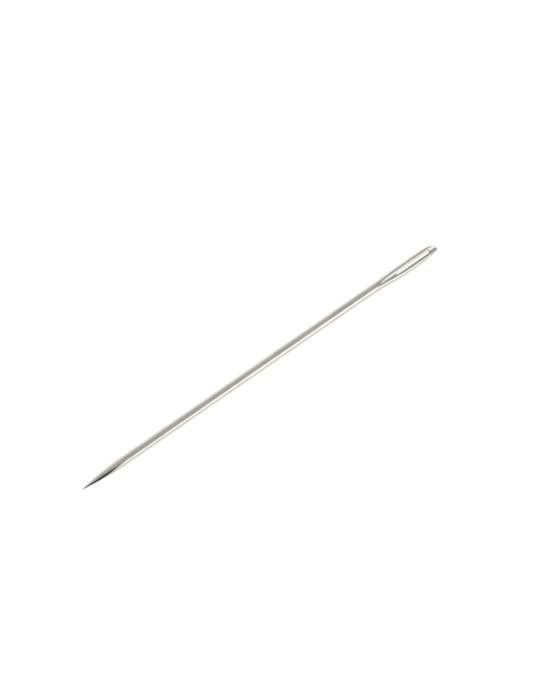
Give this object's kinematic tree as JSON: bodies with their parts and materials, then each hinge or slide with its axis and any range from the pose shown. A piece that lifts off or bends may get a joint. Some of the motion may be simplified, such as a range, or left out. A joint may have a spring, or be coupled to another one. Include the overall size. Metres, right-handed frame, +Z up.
{
  "type": "hand sewing needle",
  "caption": "Round steel hand sewing needle with a long sharp point, a flattened head, a long eye with gutters and a rounded crown.",
  "frame": {"origin": "on the ground, midway between the tip of the point and the top of the crown, under the middle of the head's width", "axes": "+X along the needle from the point to the head; +Z up, square to the flat faces of the head; +Y across the head"},
  "size_m": [0.0486, 0.0012, 0.001],
  "materials": {
    "plated_steel": "polished nickel plate on steel"
  },
  "bodies": {
    "root": {"needle": "plated_steel"}
  },
  "joints": []
}
